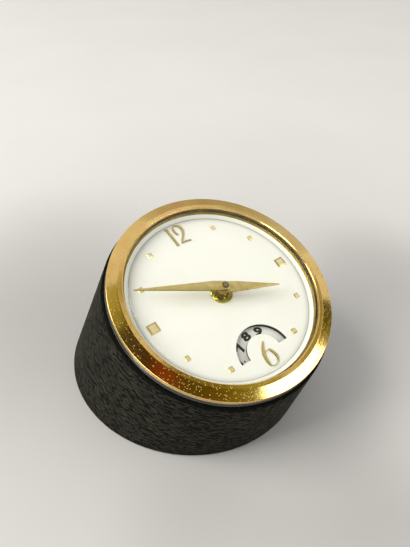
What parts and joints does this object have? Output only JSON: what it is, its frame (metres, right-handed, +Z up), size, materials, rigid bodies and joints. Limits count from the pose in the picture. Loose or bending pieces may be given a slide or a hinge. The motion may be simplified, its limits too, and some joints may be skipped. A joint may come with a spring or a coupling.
{
  "type": "desk clock",
  "caption": "Round desk clock in a slanting leather-covered drum with brass bezel, domed glass, hands, a half-ring window over a turning disc and a wound movement reached from the open base.",
  "frame": {"origin": "centre of the bounding box's bottom face, on the table", "axes": "+Z up, the dial faces -Y and up, +X to the clock's three o'clock side"},
  "size_m": [0.0936, 0.1112, 0.0692],
  "materials": {
    "leather": "black grained leather, satin",
    "drum": "moulded phenolic, matt",
    "felt": "dark green baize",
    "collar": "black enamel, glossy",
    "bezel_brass": "polished, worn on the inner land",
    "glass": "clear domed acrylic",
    "dial_white": "white lacquer",
    "gilt": "gilt, satin",
    "disc_white": "white lacquer, printed",
    "plate_brass": "rolled, grained",
    "wheel_brass": "stamped, satin",
    "steel": "turned, satin",
    "blued_steel": "blued",
    "nickel": "nickel plated"
  },
  "bodies": {
    "case": {"drum_shell": "drum", "leather_cover": "leather", "base_felt": "felt", "collar_ring": "collar", "bezel": "bezel_brass", "glass": "glass", "dial_flange": "dial_white", "dial": "dial_white", "hour_markers": "gilt", "centre_dish": "gilt", "front_plate": "plate_brass", "back_plate": "plate_brass", "pillars": "plate_brass", "plate_screws": "blued_steel", "movement_screws": "blued_steel", "click_screw": "blued_steel", "click_spring": "steel", "hairspring": "blued_steel", "hairspring_stud": "steel", "balance_cock": "plate_brass", "cock_screw": "blued_steel", "minute_post": "steel"},
    "centre": {"centre_wheel": "wheel_brass", "centre_arbor": "steel", "cannon_pinion": "steel", "minute_hand": "gilt", "setting_knob": "nickel"},
    "hour": {"hour_wheel": "wheel_brass", "hour_hand": "gilt"},
    "minute_wheel": {"minute_wheel": "wheel_brass"},
    "barrel": {"barrel": "wheel_brass", "barrel_cover": "wheel_brass", "mainspring": "blued_steel"},
    "third": {"third_arbor": "steel", "third_wheel": "wheel_brass"},
    "fourth": {"fourth_arbor": "steel", "fourth_wheel": "wheel_brass", "seconds_disc": "disc_white"},
    "escape": {"escape_arbor": "steel", "escape_wheel": "wheel_brass"},
    "lever": {"pallet_lever": "steel", "lever_arbor": "steel"},
    "balance": {"balance_wheel": "wheel_brass", "balance_staff": "steel", "balance_roller": "steel"},
    "regulator": {"regulator_lever": "steel"},
    "winding": {"barrel_arbor": "steel", "ratchet_wheel": "steel", "winding_key": "nickel"},
    "click": {"click": "steel"}
  },
  "joints": [
    {"name": "centre_turn", "type": "hinge", "parent": "case", "child": "centre", "pos_m": [0, -0.01287, 0.03955], "axis": [0, -0.3746, 0.9272], "continuous": true},
    {"name": "hour_turn", "type": "hinge", "parent": "case", "child": "hour", "pos_m": [0, -0.01287, 0.03955], "axis": [0, -0.3746, 0.9272], "continuous": true},
    {"name": "minute_wheel_turn", "type": "hinge", "parent": "case", "child": "minute_wheel", "pos_m": [0, -0.00863, 0.05042], "axis": [0, -0.3746, 0.9272], "continuous": true},
    {"name": "barrel_turn", "type": "hinge", "parent": "case", "child": "barrel", "pos_m": [0, 0.00271, 0.04584], "axis": [0, -0.3746, 0.9272], "continuous": true},
    {"name": "third_turn", "type": "hinge", "parent": "case", "child": "third", "pos_m": [0.00951, -0.02503, 0.03463], "axis": [0, -0.3746, 0.9272], "continuous": true},
    {"name": "seconds_turn", "type": "hinge", "parent": "case", "child": "fourth", "pos_m": [0, -0.03614, 0.03014], "axis": [0, -0.3746, 0.9272], "continuous": true},
    {"name": "escape_turn", "type": "hinge", "parent": "case", "child": "escape", "pos_m": [-0.00935, -0.03113, 0.03217], "axis": [0, -0.3746, 0.9272], "continuous": true},
    {"name": "lever_swing", "type": "hinge", "parent": "case", "child": "lever", "pos_m": [-0.01655, -0.02802, 0.03342], "axis": [0, -0.3746, 0.9272], "range_deg": [-4, 4]},
    {"name": "balance_swing", "type": "hinge", "parent": "case", "child": "balance", "pos_m": [-0.02258, -0.02004, 0.03665], "axis": [0, -0.3746, 0.9272], "range_deg": [-220, 220], "stiffness_Nm_per_rad": 0.000007, "deforming": ["hairspring"]},
    {"name": "regulator_turn", "type": "hinge", "parent": "case", "child": "regulator", "pos_m": [-0.02258, -0.01705, 0.02923], "axis": [0, -0.3746, 0.9272], "range_deg": [-12, 12]},
    {"name": "winding_turn", "type": "hinge", "parent": "case", "child": "winding", "pos_m": [0, 0.00271, 0.04584], "axis": [0, -0.3746, 0.9272], "continuous": true, "deforming": ["mainspring"]},
    {"name": "click_lift", "type": "hinge", "parent": "case", "child": "click", "pos_m": [0.00977, 0.00241, 0.03709], "axis": [0, -0.3746, 0.9272], "range_deg": [-10, 0], "stiffness_Nm_per_rad": 0.00005, "springref_deg": 11.46, "deforming": ["click_spring"]}
  ],
  "couplings": [
    {"joint": "hour_turn", "follows": "centre_turn", "ratio": 0.083333},
    {"joint": "minute_wheel_turn", "follows": "centre_turn", "ratio": -0.33333},
    {"joint": "barrel_turn", "follows": "centre_turn", "ratio": -0.16667},
    {"joint": "third_turn", "follows": "centre_turn", "ratio": -8},
    {"joint": "seconds_turn", "follows": "centre_turn", "ratio": 60},
    {"joint": "escape_turn", "follows": "centre_turn", "ratio": -480}
  ]
}
